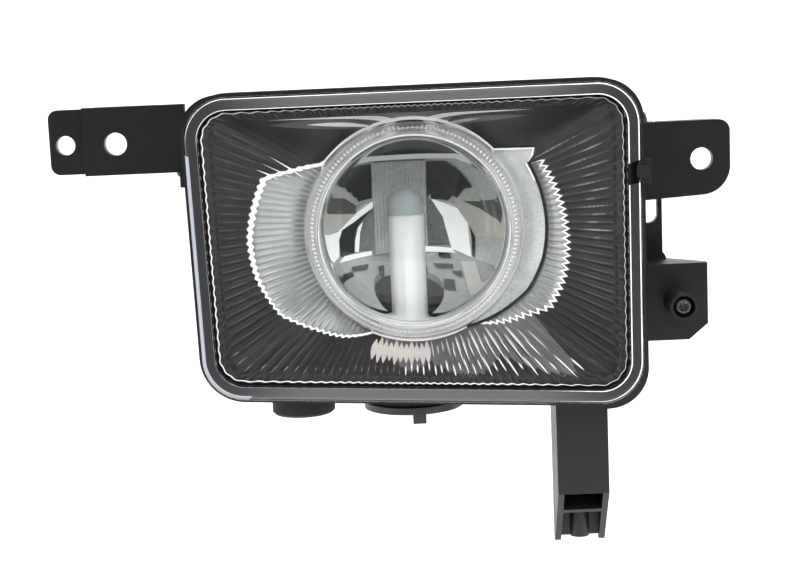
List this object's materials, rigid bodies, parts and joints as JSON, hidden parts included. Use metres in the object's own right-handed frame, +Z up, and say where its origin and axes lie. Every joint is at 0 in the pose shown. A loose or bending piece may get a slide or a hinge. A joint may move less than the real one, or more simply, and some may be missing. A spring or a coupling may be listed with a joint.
{
  "type": "fog light",
  "caption": "Rectangular front fog lamp with fluted bezel, round inner lens and bulb, tilting in a moulded carrier with side arms, aiming screw and guide leg.",
  "frame": {"origin": "centre of the fixing hole in the left arm, halfway through the arm", "axes": "+X to the right as the lamp is seen from the front, +Y from the lens to the rear, +Z up"},
  "size_m": [0.2125, 0.079, 0.1525],
  "materials": {
    "black_plastic": "satin moulded black",
    "housing_plastic": "matt moulded black",
    "bush_plastic": "natural, smooth",
    "clear_lens": "clear polished cover",
    "seal_rubber": "soft black",
    "dark_reflector": "metallised, fluted, reflecting dark",
    "bright_ring": "bright metallised",
    "clear_glass": "clear polished",
    "bright_reflector": "bright metallised",
    "screw_steel": "zinc plated",
    "vent_rubber": "matt black",
    "vent_fabric": "fine white membrane",
    "base_plastic": "dark grey moulded",
    "terminal_brass": "tinned brass",
    "collar_steel": "drawn sheet, bright",
    "bulb_glass": "clear quartz",
    "tip_coating": "grey opaque coating",
    "tungsten": "dull wire",
    "adjuster_steel": "zinc plated",
    "nut_nylon": "natural nylon"
  },
  "bodies": {
    "carrier": {"carrier_bracket": "black_plastic", "pivot_bushes": "bush_plastic"},
    "lamp": {"housing": "housing_plastic", "front_lens": "clear_lens", "lens_seal": "seal_rubber", "fluted_bezel": "dark_reflector", "lens_ring": "bright_ring", "inner_lens": "clear_glass", "reflector_bowl": "bright_reflector", "reflector_screws": "screw_steel", "pivot_screws": "screw_steel", "vent_cap": "vent_rubber", "vent_membrane": "vent_fabric"},
    "bulb": {"bulb_base": "base_plastic", "bulb_terminals": "terminal_brass", "bulb_seal": "seal_rubber", "bulb_collar": "collar_steel", "bulb_glass": "bulb_glass", "bulb_tip_coat": "tip_coating", "filament": "tungsten", "filament_supports": "tungsten"},
    "aiming_screw": {"adjuster_screw": "adjuster_steel", "adjuster_clip": "adjuster_steel"},
    "aiming_nut": {"adjuster_nut": "nut_nylon"}
  },
  "joints": [
    {"name": "lamp_tilt", "type": "hinge", "parent": "carrier", "child": "lamp", "pos_m": [0.0913, 0.0065, -0.0044], "axis": [1, 0, 0], "range_deg": [-3, 3]},
    {"name": "adjuster_turn", "type": "hinge", "parent": "carrier", "child": "aiming_screw", "pos_m": [0.1733, 0, -0.0568], "axis": [0, 1, 0], "range_deg": [-500, 500]},
    {"name": "nut_slide", "type": "slide", "parent": "carrier", "child": "aiming_nut", "axis": [0, 1, 0], "range_m": [-0.003, 0.003]},
    {"name": "bulb_twist", "type": "hinge", "parent": "lamp", "child": "bulb", "pos_m": [0.0893, 0.0205, -0.09], "axis": [0, 0, -1], "range_deg": [0, 45]}
  ],
  "couplings": [
    {"joint": "adjuster_turn", "follows": "lamp_tilt", "ratio": -164.62},
    {"joint": "nut_slide", "follows": "lamp_tilt", "m_per_rad": 0.0524}
  ]
}
